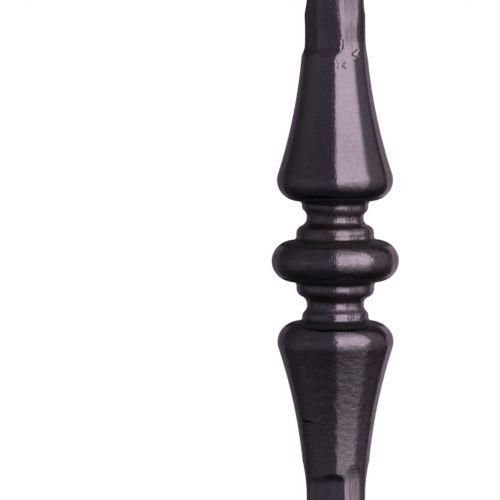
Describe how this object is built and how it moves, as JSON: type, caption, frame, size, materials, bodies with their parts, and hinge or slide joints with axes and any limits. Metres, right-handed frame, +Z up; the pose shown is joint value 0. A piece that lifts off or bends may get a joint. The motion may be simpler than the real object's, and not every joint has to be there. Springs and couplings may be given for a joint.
{
  "type": "iron stair baluster",
  "caption": "Slender forged iron stair baluster with hammered tapering bars, a round ring between flared bells at mid height, and plain round pin ends.",
  "frame": {"origin": "centre of the bottom end face, where the tread pin ends", "axes": "+Z up along the bar, from the tread towards the handrail; -Y is the side that the picture shows; X and Y each face the middle of a hammered flat"},
  "size_m": [0.0386, 0.0384, 1.1176],
  "materials": {
    "black_iron": "satin black coating over hammered iron"
  },
  "bodies": {
    "root": {"baluster": "black_iron"}
  },
  "joints": []
}
